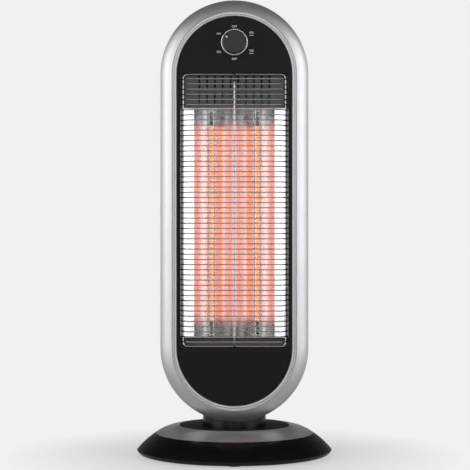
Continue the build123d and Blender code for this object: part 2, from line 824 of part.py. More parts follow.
# Base trim ring: a silver band between the dome and the top disc
disc_radius = top_disc_diameter / 2
band_middle = (disc_radius + (dome_edge_radius - disc_radius) * 0.54, base_top - 3.2)
with BuildPart() as base_trim_ring:
    with BuildSketch(Plane.XZ):
        with BuildLine():
            inner_top = (disc_radius + 0.4, base_top)
            outer_edge = (dome_edge_radius, dome_edge_height)
            ThreePointArc(inner_top, band_middle, outer_edge)
            Line(outer_edge, (dome_edge_radius - 1.6, dome_edge_height - trim_thickness * 0.75))
            ThreePointArc(
                (dome_edge_radius - 1.6, dome_edge_height - trim_thickness * 0.75),
                (band_middle[0] - 1.0, band_middle[1] - trim_thickness),
                (inner_top[0], base_top - trim_thickness),
            )
            Line((inner_top[0], base_top - trim_thickness), inner_top)
        make_face()
    revolve(axis=Axis.Z)
save(base_trim_ring.part, "base_trim_ring")

# Base top disc with the round opening for the neck
with BuildPart() as base_top_disc:
    with BuildSketch(level(base_top - top_disc_thickness)):
        Circle(disc_radius)
        Circle(neck_radius + turn_gap, mode=Mode.SUBTRACT)
    extrude(amount=top_disc_thickness)
    chamfer(base_top_disc.faces().sort_by(Axis.Z)[-1].outer_wire().edges(), length=0.6)
save(base_top_disc.part, "base_top_disc")

# Base cover: a low dome shell, hollow below, with posts for its screws
cover_inner_top = base_top - top_disc_thickness - base_wall
plate_top = base_lift + bottom_plate
rim_foot = base_radius - rim_tuck
dome_middle = (base_radius - 11.3, 20.4)
with BuildPart() as base_hollow:
    with BuildSketch(Plane.XZ):
        with BuildLine():
            wall_foot = (rim_foot - base_wall, base_lift)
            wall_rim = (base_radius - base_wall - 0.6, rim_height + 0.4)
            wall_shoulder = (dome_edge_radius - 2.6, dome_edge_height - base_wall - 1.4)
            Polyline((0, base_lift), wall_foot, wall_rim)
            ThreePointArc(
                wall_rim, (dome_middle[0] - 2.4, dome_middle[1] - 2.0), wall_shoulder
            )
            ThreePointArc(
                wall_shoulder,
                (band_middle[0] - 2.2, band_middle[1] - trim_thickness - base_wall),
                (disc_radius, cover_inner_top),
            )
            Polyline((disc_radius, cover_inner_top), (0, cover_inner_top), (0, base_lift))
        make_face()
    revolve(axis=Axis.Z)
    # leave the posts standing when the hollow is taken out
    with BuildSketch(level(plate_top)):
        with PolarLocations(post_circle, 4, start_angle=45):
            Circle(post_diameter / 2)
    extrude(amount=base_top - plate_top, mode=Mode.SUBTRACT)
    with BuildSketch(level(bearing_level + bearing_sheet)):
        with PolarLocations(bearing_screw_circle, 4):
            Circle(4.0)
    extrude(amount=base_top - bearing_level, mode=Mode.SUBTRACT)

with BuildPart() as base_cover:
    with BuildSketch(Plane.XZ):
        with BuildLine():
            Polyline((0, base_lift), (rim_foot, base_lift))
            ThreePointArc(
                (rim_foot, base_lift), (base_radius - 2.6, rim_height * 0.55), (base_radius, rim_height)
            )
            ThreePointArc((base_radius, rim_height), dome_middle, outer_edge)
            ThreePointArc(outer_edge, band_middle, inner_top)
            Polyline(inner_top, (0, base_top), (0, base_lift))
        make_face()
    revolve(axis=Axis.Z)
    add(base_hollow.part, mode=Mode.SUBTRACT)
    add(base_trim_ring.part, mode=Mode.SUBTRACT)
    with BuildSketch(level(base_top - top_disc_thickness)):
        Circle(inner_top[0])
    extrude(amount=top_disc_thickness + 1, mode=Mode.SUBTRACT)
    with BuildSketch(level(base_lift)):
        Circle(disc_radius - top_disc_shelf)
    extrude(amount=base_top, mode=Mode.SUBTRACT)
    with BuildSketch(level(plate_top)):
        with PolarLocations(post_circle, 4, start_angle=45):
            Circle(1.8)
    extrude(amount=12.0, mode=Mode.SUBTRACT)
    with BuildSketch(level(bearing_level)):
        with PolarLocations(bearing_screw_circle, 4):
            Circle(1.5)
    extrude(amount=7.0, mode=Mode.SUBTRACT)
    with BuildSketch(Plane(origin=(0, base_radius - 20, gland_height), z_dir=(0, 1, 0))):
        Circle(gland_diameter / 2 + screw_gap)
    extrude(amount=30.0, mode=Mode.SUBTRACT)
save(base_cover.part, "base_cover")

# Bottom plate with recesses for the feet and holes for screws and plunger
plate_radius = rim_foot - base_wall - seat_gap
with BuildPart() as bottom_cover:
    with BuildSketch(level(base_lift)):
        Circle(plate_radius)
    extrude(amount=bottom_plate)
    with BuildSketch(level(base_lift)):
        with PolarLocations(foot_circle, foot_count, start_angle=30):
            Circle(foot_diameter / 2 - 2.0 + seat_gap)
        with PolarLocations(post_circle, 4, start_angle=45):
            Circle(4.2)
    extrude(amount=1.2, mode=Mode.SUBTRACT)
    with BuildSketch(level(base_lift)):
        with PolarLocations(post_circle, 4, start_angle=45):
            Circle(1.8 + screw_gap)
        with Locations((plunger_x, plunger_y)):
            Circle(plunger_diameter / 2 + pin_gap)
    extrude(amount=bottom_plate, mode=Mode.SUBTRACT)
save(bottom_cover.part, "bottom_cover")

with BuildPart() as rubber_feet:
    with BuildSketch():
        with PolarLocations(foot_circle, foot_count, start_angle=30):
            Circle(foot_diameter / 2)
    extrude(amount=base_lift)
    with BuildSketch(level(base_lift)):
        with PolarLocations(foot_circle, foot_count, start_angle=30):
            Circle(foot_diameter / 2 - 2.0)
    extrude(amount=1.2)
save(rubber_feet.part, "rubber_feet")

with BuildPart() as base_screws:
    with BuildSketch(level(base_lift + 0.2)):
        with PolarLocations(post_circle, 4, start_angle=45):
            Circle(3.8)
    extrude(amount=1.0)
    with BuildSketch(level(base_lift + 1.2)):
        with PolarLocations(post_circle, 4, start_angle=45):
            Circle(1.8 - pin_gap)
    extrude(amount=11.0)
save(base_screws.part, "base_screws")

# Ballast plate that keeps the tall heater upright
tilt_length = lever_arm + button_arm + 16.0
tilt_middle = plunger_x + (lever_arm + button_arm) / 2
with BuildPart() as ballast_plate:
    with BuildSketch(level(plate_top)):
        Circle(ballast_radius)
        with Locations((0, motor_offset)):
            Circle(motor_diameter / 2 + 2.0, mode=Mode.SUBTRACT)
            Rectangle(motor_diameter + 26, 16, mode=Mode.SUBTRACT)
        with Locations((tilt_middle, plunger_y)):
            Rectangle(tilt_length + 6, 26, mode=Mode.SUBTRACT)
    extrude(amount=ballast_thickness)
save(ballast_plate.part, "ballast_plate")

# Swing motor: a flat geared can with two ears, standing on the bottom plate
motor_top = plate_top + motor_height
ear_reach = motor_diameter / 2 + 5.0
with BuildPart() as swing_motor:
    with BuildSketch(level(plate_top)):
        with Locations((0, motor_offset)):
            Circle(motor_diameter / 2)
    extrude(amount=motor_height)
    with BuildSketch(level(motor_top - 1.0)):
        with Locations((0, motor_offset)):
            SlotCenterToCenter(2 * ear_reach, 8)
    extrude(amount=1.0)
    with BuildSketch(level(motor_top - 1.0)):
        with Locations((-ear_reach, motor_offset), (ear_reach, motor_offset)):
            Circle(1.8)
    extrude(amount=1.0, mode=Mode.SUBTRACT)
    with BuildSketch(level(motor_top - 8.0)):
        with Locations((0, motor_offset)):
            Circle(shaft_diameter / 2 + pin_gap)
    extrude(amount=8.0, mode=Mode.SUBTRACT)
save(swing_motor.part, "swing_motor")

with BuildPart() as motor_posts:
    with BuildSketch(level(plate_top)):
        with Locations((-ear_reach, motor_offset), (ear_reach, motor_offset)):
            Circle(3.6)
    extrude(amount=motor_height - 1.0)
save(motor_posts.part, "motor_posts")

with BuildPart() as motor_screws:
    with BuildSketch(level(motor_top)):
        with Locations((-ear_reach, motor_offset), (ear_reach, motor_offset)):
            Circle(3.2)
    extrude(amount=1.6)
    with BuildSketch(level(motor_top - 1.0)):
        with Locations((-ear_reach, motor_offset), (ear_reach, motor_offset)):
            Circle(1.8 - pin_gap)
    extrude(amount=1.0)
save(motor_screws.part, "motor_screws")

# Crank on the motor shaft, its pin reaching up into the slot of the swing plate
crank_bottom = motor_top + 1.0
pin_top = swing_plate_top - 0.3
with BuildPart() as motor_shaft:
    with BuildSketch(level(motor_top - 8.0 + turn_gap)):
        with Locations((0, motor_offset)):
            Circle(shaft_diameter / 2)
    extrude(amount=crank_bottom + crank_thickness - motor_top + 8.0 - turn_gap)
save(motor_shaft.part, "motor_shaft")

with BuildPart() as motor_crank:
    with BuildSketch(level(crank_bottom)):
        with Locations((0, motor_offset)):
            Circle(6.5)
        with Locations((0, motor_offset + crank_radius / 2)):
            SlotCenterToCenter(crank_radius, 9, rotation=90)
        with Locations((0, motor_offset)):
            Circle(shaft_diameter / 2 + pin_gap, mode=Mode.SUBTRACT)
    extrude(amount=crank_thickness)
    with BuildSketch(level(crank_bottom + crank_thickness)):
        with Locations((0, motor_offset + crank_radius)):
            Circle(pin_radius)
    extrude(amount=pin_top - crank_bottom - crank_thickness)
save(motor_crank.part, "motor_crank")

# Tip-over switch: bracket over the plunger, lever on a pin, switch body and button
bracket_top = 19.5
bracket_sheet = 1.5
flange_level = 9.0
flange_thickness = 2.0
bracket_low = plunger_x - 8.0
bracket_high = plunger_x + lever_arm + button_arm + 8.0
lever_overhang = 3.0
lever_bottom = bracket_top + turn_gap + plunger_travel * (lever_arm + lever_overhang) / lever_arm
pivot_height = lever_bottom + lever_thickness / 2
plunger_top = lever_bottom - 0.3
with BuildPart() as tilt_bracket:
    with BuildSketch(Plane.XZ.offset(-plunger_y + 8.0)):
        with BuildLine():
            Polyline(
                (bracket_low, plate_top),
                (bracket_low, bracket_top),
                (bracket_high, bracket_top),
                (bracket_high, plate_top),
                (bracket_high - bracket_sheet, plate_top),
                (bracket_high - bracket_sheet, bracket_top - bracket_sheet),
                (bracket_low + bracket_sheet, bracket_top - bracket_sheet),
                (bracket_low + bracket_sheet, plate_top),
                close=True,
            )
        make_face()
    extrude(amount=-16.0)
    # ears for the lever pin
    for side in (-1, 1):
        with BuildSketch(Plane.XZ.offset(-plunger_y - side * 5.75 + 0.75)):
            with Locations((plunger_x + lever_arm, pivot_height)):
                Circle(3.0)
            with Locations((plunger_x + lever_arm, (pivot_height + bracket_top) / 2 - 0.2)):
                Rectangle(6.0, pivot_height - bracket_top + 0.4)
            with Locations((plunger_x + lever_arm, pivot_height)):
                Circle(1.0 + pin_gap, mode=Mode.SUBTRACT)
        extrude(amount=-1.5)
    with BuildSketch(level(bracket_top - bracket_sheet)):
        with Locations((plunger_x, plunger_y)):
            Circle(plunger_diameter / 2 + pin_gap)
        with Locations((plunger_x + lever_arm + button_arm, plunger_y)):
            Circle(1.5 + turn_gap)
    extrude(amount=bracket_sheet, mode=Mode.SUBTRACT)
save(tilt_bracket.part, "tilt_bracket")

with BuildPart() as lever_pin:
    with BuildSketch(Plane.XZ.offset(-plunger_y + 7.0)):
        with Locations((plunger_x + lever_arm, pivot_height)):
            Circle(1.0)
    extrude(amount=-14.0)
save(lever_pin.part, "lever_pin")

with BuildPart() as tilt_lever:
    with BuildSketch(Plane.XZ.offset(-plunger_y + 4.0)):
        with Locations((plunger_x + (lever_arm + button_arm) / 2, pivot_height)):
            Rectangle(lever_arm + button_arm + 2 * lever_overhang, lever_thickness)
        with Locations((plunger_x + lever_arm, pivot_height)):
            Circle(2.2)
            Circle(1.0 + pin_gap, mode=Mode.SUBTRACT)
    extrude(amount=-8.0)
save(tilt_lever.part, "tilt_lever")

with BuildPart() as tilt_plunger:
    with BuildSketch(Plane.XY):
        with Locations((plunger_x, plunger_y)):
            Circle(plunger_diameter / 2)
    extrude(amount=plunger_top)
    with BuildSketch(level(flange_level)):
        with Locations((plunger_x, plunger_y)):
            Circle(plunger_flange / 2)
    extrude(amount=flange_thickness)
    fillet(tilt_plunger.faces().sort_by(Axis.Z)[0].edges(), radius=0.8)
    fillet(tilt_plunger.faces().sort_by(Axis.Z)[-1].edges(), radius=plunger_diameter / 2 - 0.5)
save(tilt_plunger.part, "tilt_plunger")

spring_low = flange_level + flange_thickness + 0.1
spring_high = bracket_top - bracket_sheet - 0.1
with BuildPart() as tilt_spring:
    spring_radius = plunger_diameter / 2 + 0.4 + spring_wire / 2
    coil_height = spring_high - spring_low - spring_wire
    with BuildLine():
        coil = Helix(
            pitch=coil_height / spring_turns,
            height=coil_height,
            radius=spring_radius,
            center=(plunger_x, plunger_y, spring_low + spring_wire / 2),
        )
    with BuildSketch(Plane(origin=coil @ 0, z_dir=coil % 0)):
        Circle(spring_wire / 2)
    sweep(path=coil, is_frenet=True)
save(tilt_spring.part, "tilt_spring")

switch_x = plunger_x + lever_arm + button_arm - 3.0
with BuildPart() as tip_switch:
    with BuildSketch(level(bracket_top - bracket_sheet - 10.0)):
        with Locations((switch_x, plunger_y)):
            Rectangle(17.0, 7.0)
    extrude(amount=10.0)
    with BuildSketch(level(bracket_top - bracket_sheet - 3.0)):
        with Locations((plunger_x + lever_arm + button_arm, plunger_y)):
            Circle(1.5 + pin_gap)
    extrude(amount=3.0, mode=Mode.SUBTRACT)
    with BuildSketch(level(bracket_top - bracket_sheet - 10.0)):
        with Locations((switch_x, plunger_y)):
            with GridLocations(6.0, 1, 3, 1):
                Rectangle(0.8, 4.0)
    extrude(amount=-3.0)
save(tip_switch.part, "tip_switch")

with BuildPart() as tip_switch_button:
    with BuildSketch(level(bracket_top - bracket_sheet - 3.0 + turn_gap)):
        with Locations((plunger_x + lever_arm + button_arm, plunger_y)):
            Circle(1.5)
    extrude(amount=plunger_top - bracket_top + bracket_sheet + 3.0 - turn_gap)
save(tip_switch_button.part, "tip_switch_button")

# Mains entry: bushing in the back of the base and a terminal block behind it
with BuildPart() as cord_gland:
    with BuildSketch(Plane(origin=(0, base_radius - 17.0, gland_height), z_dir=(0, 1, 0))):
        Circle(gland_diameter / 2)
        Circle(gland_bore / 2, mode=Mode.SUBTRACT)
    extrude(amount=11.0)
save(cord_gland.part, "cord_gland")

with BuildPart() as base_terminal_block:
    with BuildSketch(level(plate_top)):
        with Locations((0, ballast_radius + 10.0)):
            Rectangle(36.0, 14.0)
    extrude(amount=12.0)
    with BuildSketch(level(plate_top + 12.0)):
        with Locations((0, ballast_radius + 10.0)):
            with GridLocations(11, 1, 3, 1):
                Circle(2.2)
    extrude(amount=-4.0, mode=Mode.SUBTRACT)
save(base_terminal_block.part, "base_terminal_block")


def wire_along(points, radius):
    """A round wire along straight runs joined by arcs of one radius."""
    with BuildPart() as wire:
        with BuildLine():
            route = FilletPolyline(*points, radius=radius)
        with BuildSketch(Plane(origin=route @ 0, z_dir=route % 0)):
            Circle(wire_diameter / 2)
        sweep(path=route)
    return wire.part


# Wires inside the base, from the terminal block to the motor and the tip-over switch
block_front = ballast_radius + 3.0
wire_level = plate_top + 8.0
motor_back = motor_offset + sqrt((motor_diameter / 2) ** 2 - 36.0)
base_wires = [
    wire_along(
        [
            (6.0, block_front, wire_level),
            (6.0, block_front - 12.0, wire_level),
            (6.0, motor_back + 14.0, wire_level - 2.0),
            (6.0, motor_back + 0.4, wire_level - 2.0),
        ],
        30.0,
    ),
    wire_along(
        [
            (-12.0, block_front, wire_level),
            (-12.0, 76.0, wire_level),
            (-48.0, 40.0, wire_level),
            (switch_x, plunger_y + 24.0, wire_level),
            (switch_x, plunger_y + 3.7, wire_level),
        ],
        12.0,
    ),
]
export_step(Compound(label="base_wiring", children=base_wires), "parts/base_wiring.step")

# Wires inside the head, up to the switch and down into the neck
wire_back = -(cutout_back - 7.0)
terminal_tips = -(switch_front - switch_depth) + 5.0
terminal_drop = 10.4
head_wires = []
for x in (-6.0, 6.0):
    head_wires.append(
        wire_along(
            [
                (x * 2, wire_back, block_height + 8.0),
                (x * 2, wire_back, knob_height - 60.0),
                (x, terminal_tips + 12.0, knob_height - terminal_drop),
                (x, terminal_tips, knob_height - terminal_drop),
            ],
            9.0,
        )
    )
    head_wires.append(
        wire_along(
            [
                (x * 2, wire_back, block_height - 8.0),
                (x * 2, wire_back, head_bottom + 54.0),
                (x, 0.0, head_bottom + 26.0),
                (x, 0.0, flange_bottom + neck_flange + 10.0),
            ],
            9.0,
        )
    )
export_step(Compound(label="head_wiring", children=head_wires), "parts/head_wiring.step")

# Plug-in connector in the neck, where the wires of the head end
with BuildPart() as swing_connector:
    with BuildSketch(level(flange_bottom + neck_flange + 1.0)):
        Rectangle(54.0, 12.0)
    extrude(amount=9.0)
    fillet(swing_connector.edges().filter_by(Axis.Z), radius=2.0)
save(swing_connector.part, "swing_connector")
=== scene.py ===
"""Looks of an oscillating carbon heater, built round its CAD model. Metres; front towards -Y."""

import json
import math

import bpy
import numpy as np
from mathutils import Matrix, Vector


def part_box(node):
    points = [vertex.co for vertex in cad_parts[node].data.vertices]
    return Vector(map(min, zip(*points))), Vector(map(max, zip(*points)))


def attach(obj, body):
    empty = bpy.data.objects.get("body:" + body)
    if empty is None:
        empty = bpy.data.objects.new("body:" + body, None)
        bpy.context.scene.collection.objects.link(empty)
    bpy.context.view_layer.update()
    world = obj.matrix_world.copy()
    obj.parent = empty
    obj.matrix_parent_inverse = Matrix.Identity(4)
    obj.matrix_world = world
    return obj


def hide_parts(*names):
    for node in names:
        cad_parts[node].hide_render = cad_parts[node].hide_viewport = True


bl_info = {
    "name": "Carbon heater looks",
    "version": (1, 0, 0),
    "blender": (4, 5, 0),
    "location": "View3D > Sidebar > Heater",
    "description": "Finishes and fine pieces of an oscillating carbon heater",
    "category": "Object",
}

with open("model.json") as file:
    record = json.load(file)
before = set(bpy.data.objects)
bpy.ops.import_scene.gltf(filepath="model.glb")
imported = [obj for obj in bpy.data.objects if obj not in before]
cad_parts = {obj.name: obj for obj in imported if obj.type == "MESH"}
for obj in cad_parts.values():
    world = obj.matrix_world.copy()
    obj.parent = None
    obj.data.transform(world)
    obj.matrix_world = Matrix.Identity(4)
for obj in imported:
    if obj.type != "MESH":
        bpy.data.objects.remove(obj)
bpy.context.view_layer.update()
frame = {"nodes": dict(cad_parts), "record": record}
MM = 0.001

# Places taken from the CAD model, in metres
PANEL_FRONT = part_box("front_panel")[0][1]
KNOB_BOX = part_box("knob_ring")
KNOB_HEIGHT = (KNOB_BOX[0][2] + KNOB_BOX[1][2]) / 2
TUBES = {side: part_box("quartz_tube_" + side) for side in ("left", "right")}
TUBE_LOW = TUBES["left"][0][2]
TUBE_HIGH = TUBES["left"][1][2]
HEAD_MIDDLE = (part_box("rear_cover")[0][2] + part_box("rear_cover")[1][2]) / 2

# The stretch of the elements that glows
HOT_LOW = 0.190
HOT_HIGH = 0.477

# An element: radius of its coil, width and thickness of its ribbon
COIL_RADIUS = 0.0022
RIBBON_WIDTH = 0.0026
RIBBON_THICKNESS = 0.0004

# Printing on the panel: half of its thickness, and how far its middle stands off the panel
INK = 0.00002
INK_LIFT = 0.00003

# The camera of the photograph
CAMERA_PLACE = (0, -2.5, 0.344)
CAMERA_LENS = 132.8
CAMERA_SHIFT = (0.0013, -0.0404)


# Shader helpers


def linear(code):
    """Linear RGBA of an sRGB hex colour such as "8a8c8e"."""
    channels = [int(code[i:i + 2], 16) / 255 for i in (0, 2, 4)]
    return [c / 12.92 if c <= 0.04045 else ((c + 0.055) / 1.055) ** 2.4 for c in channels] + [1.0]


def add_node(tree, kind, inputs=None, **settings):
    """Adds one node. Each input is either a value that is set or an output that is linked."""
    new = tree.nodes.new(kind)
    for key, value in settings.items():
        setattr(new, key, value)
    for key, value in (inputs or {}).items():
        if isinstance(value, bpy.types.NodeSocket):
            tree.links.new(value, new.inputs[key])
        else:
            new.inputs[key].default_value = value
    return new


def in_mm(tree, size, stretch=(1, 1, 1)):
    """Object coordinates scaled so that one unit is a number of millimetres."""
    coords = add_node(tree, "ShaderNodeTexCoord")
    scale = [s / (size * MM) for s in stretch]
    mapping = add_node(tree, "ShaderNodeMapping", {"Vector": coords.outputs["Object"], "Scale": scale})
    return mapping.outputs["Vector"]


def between(tree, value, low, high, new_low, new_high):
    """Maps value from one range to another and clamps it."""
    ranged = add_node(tree, "ShaderNodeMapRange", {
        "Value": value, "From Min": low, "From Max": high, "To Min": new_low, "To Max": new_high,
    })
    return ranged.outputs["Result"]


def blended(tree, fac, first, second):
    """Colour mixed from first to second by fac."""
    mix = add_node(tree, "ShaderNodeMix", {"Factor": fac}, data_type="RGBA")
    for socket, value in ((mix.inputs[6], first), (mix.inputs[7], second)):
        if isinstance(value, bpy.types.NodeSocket):
            tree.links.new(value, socket)
        else:
            socket.default_value = value
    return mix.outputs[2]


def finish_material(
    name, colour, rough, metal=0.0, grain=0.6, depth=0.02, patch=25.0, spread=0.05, shade=0.06,
    stretch=(1, 1, 1), coat=0.0, shine=0.5, extra=None,
):
    """Principled surface with a fine grain and broad patches.

    The grain is noise of a given size in millimetres that bends the normal by its depth in
    millimetres. The patches are broad noise that shifts the roughness and darkens the colour.
    """
    material = bpy.data.materials.new(name)
    material.use_nodes = True
    tree = material.node_tree
    shader = tree.nodes["Principled BSDF"]
    fine = add_node(tree, "ShaderNodeTexNoise", {
        "Vector": in_mm(tree, grain, stretch), "Scale": 1.0, "Detail": 3.0,
    }).outputs["Fac"]
    broad = add_node(tree, "ShaderNodeTexNoise", {
        "Vector": in_mm(tree, patch), "Scale": 1.0, "Detail": 4.0, "Roughness": 0.6,
    }).outputs["Fac"]
    bump = add_node(tree, "ShaderNodeBump", {"Height": fine, "Strength": 0.5, "Distance": depth * MM})
    tree.links.new(bump.outputs["Normal"], shader.inputs["Normal"])
    roughness = between(tree, broad, 0.3, 0.7, rough - spread, rough + spread)
    tree.links.new(roughness, shader.inputs["Roughness"])
    dark = [c * (1 - shade) for c in colour[:3]] + [1.0]
    tree.links.new(blended(tree, broad, dark, list(colour[:3]) + [1.0]), shader.inputs["Base Color"])
    shader.inputs["Metallic"].default_value = metal
    shader.inputs["Specular IOR Level"].default_value = shine
    shader.inputs["Coat Weight"].default_value = coat
    shader.inputs["Coat Roughness"].default_value = 0.05
    if extra:
        extra(tree, shader, fine, broad)
    return material


# Materials


def lacquer_flakes(tree, shader, fine, broad):
    """Metal flakes in silver lacquer: tiny cells that tip the reflection to and fro."""
    cells = add_node(tree, "ShaderNodeTexVoronoi", {"Vector": in_mm(tree, 0.25), "Scale": 1.0})
    bright = add_node(tree, "ShaderNodeSeparateColor", {"Color": cells.outputs["Color"]})
    tree.links.new(between(tree, bright.outputs[0], 0, 1, 0.78, 1.0), shader.inputs["Metallic"])


def mould_texture(size, depth):
    """Spark-eroded texture: rounded cells of a size in mm, standing proud by a depth in mm."""
    def add(tree, shader, fine, broad):
        cells = add_node(tree, "ShaderNodeTexVoronoi", {
            "Vector": in_mm(tree, size), "Scale": 1.0,
        }, feature="SMOOTH_F1")
        bump = add_node(tree, "ShaderNodeBump", {
            "Height": cells.outputs["Distance"], "Strength": 0.6, "Distance": depth * MM,
        })
        tree.links.new(bump.outputs["Normal"], shader.inputs["Normal"])
    return add


def painted_trough_reflection(settings):
    """Painted reflection: the elements' red light drawn as emission on the reflector, with painted pale
    highlight streaks where it piles up.
    """
    streak_spacing = 0.0155
    lit_half_width = 0.050
    dark_half_width = 0.064
    # pale colour of the painted highlight streaks
    painted_highlight_colour = [1.0, 0.72, 0.6, 1]

    def add(tree, shader, fine, broad):
        coords = add_node(tree, "ShaderNodeTexCoord")
        axes = add_node(tree, "ShaderNodeSeparateXYZ", {"Vector": coords.outputs["Object"]})
        # the painted red light fades out at the ends of the hot stretch and towards the sides
        rise = between(tree, axes.outputs["Z"], HOT_LOW - 0.006, HOT_LOW + 0.012, 0, 1)
        fall = between(tree, axes.outputs["Z"], HOT_HIGH - 0.012, HOT_HIGH + 0.006, 1, 0)
        side = add_node(tree, "ShaderNodeMath", {0: axes.outputs["X"]}, operation="ABSOLUTE")
        inward = between(tree, side.outputs[0], lit_half_width, dark_half_width, 1, 0)
        wave = add_node(tree, "ShaderNodeMath", {
            0: side.outputs[0], 1: 2 * math.pi / streak_spacing,
        }, operation="MULTIPLY")
        bands = add_node(tree, "ShaderNodeMath", {0: wave.outputs[0]}, operation="COSINE")
        patches = between(tree, broad, 0.35, 0.65, 0.55, 1.0)
        pale = add_node(tree, "ShaderNodeMath", {
            0: between(tree, bands.outputs[0], 0.2, 1, 0, 1), 1: patches,
        }, operation="MULTIPLY")
        strength = between(tree, bands.outputs[0], -1, 1, 0.7, 1.5)
        for other in (rise, fall, inward):
            product = add_node(tree, "ShaderNodeMath", {0: strength, 1: other}, operation="MULTIPLY")
            strength = product.outputs[0]
        # strength of the painted red reflection, fed to the emission
        glow = add_node(tree, "ShaderNodeMath", {0: strength, 1: settings.glow}, operation="MULTIPLY")
        red = list(settings.glow_colour) + [1.0]
        colour = blended(tree, pale.outputs[0], red, painted_highlight_colour)
        tree.links.new(colour, shader.inputs["Emission Color"])
        tree.links.new(glow.outputs[0], shader.inputs["Emission Strength"])
    return add


def zinc_spangle(tree, shader, fine, broad):
    """Crystal pattern of zinc plate: flat cells of a few millimetres in slightly different greys."""
    cells = add_node(tree, "ShaderNodeTexVoronoi", {"Vector": in_mm(tree, 2.2), "Scale": 1.0})
    grey = add_node(tree, "ShaderNodeSeparateColor", {"Color": cells.outputs["Color"]})
    tone = between(tree, grey.outputs[0], 0, 1, 0.28, 0.46)
    tree.links.new(tone, shader.inputs["Roughness"])


def quartz_material():
    """Clear fused quartz, thin walled: see-through with a sheen that grows towards the edges."""
    material = bpy.data.materials.new("fused_quartz")
    material.use_nodes = True
    tree = material.node_tree
    tree.nodes.remove(tree.nodes["Principled BSDF"])
    facing = add_node(tree, "ShaderNodeLayerWeight", {"Blend": 0.35})
    streaks = add_node(tree, "ShaderNodeTexNoise", {
        "Vector": in_mm(tree, 1.2, (1, 1, 0.05)), "Scale": 1.0, "Detail": 2.0,
    })
    clear = add_node(tree, "ShaderNodeBsdfTransparent", {
        "Color": blended(tree, streaks.outputs["Fac"], [0.93, 0.92, 0.91, 1], [0.99, 0.98, 0.97, 1]),
    })
    sheen = add_node(tree, "ShaderNodeBsdfGlossy", {"Color": [0.9, 0.9, 0.92, 1], "Roughness": 0.04})
    amount = between(tree, facing.outputs["Fresnel"], 0.0, 1.0, 0.05, 0.75)
    mix = add_node(tree, "ShaderNodeMixShader", {
        0: amount, 1: clear.outputs[0], 2: sheen.outputs[0],
    })
    tree.links.new(mix.outputs[0], tree.nodes["Material Output"].inputs["Surface"])
    return material


def glowing_carbon(settings):
    """Woven carbon ribbon at working heat: yellow-orange crests with redder gaps in the weave."""
    material = bpy.data.materials.new("glowing_carbon_weave")
    material.use_nodes = True
    tree = material.node_tree
    shader = tree.nodes["Principled BSDF"]
    weave = add_node(tree, "ShaderNodeTexWave", {
        "Vector": in_mm(tree, 1.0), "Scale": 0.6, "Distortion": 2.0, "Detail": 2.0,
    }, bands_direction="DIAGONAL")
    hot = list(settings.filament_colour) + [1.0]
    red = [hot[0], hot[1] * 0.45, hot[2] * 0.3, 1.0]
    tree.links.new(blended(tree, weave.outputs["Fac"], red, hot), shader.inputs["Emission Color"])
    shader.inputs["Emission Strength"].default_value = settings.filament_glow
    shader.inputs["Base Color"].default_value = [0.02, 0.02, 0.02, 1]
    shader.inputs["Roughness"].default_value = 0.8
    return material


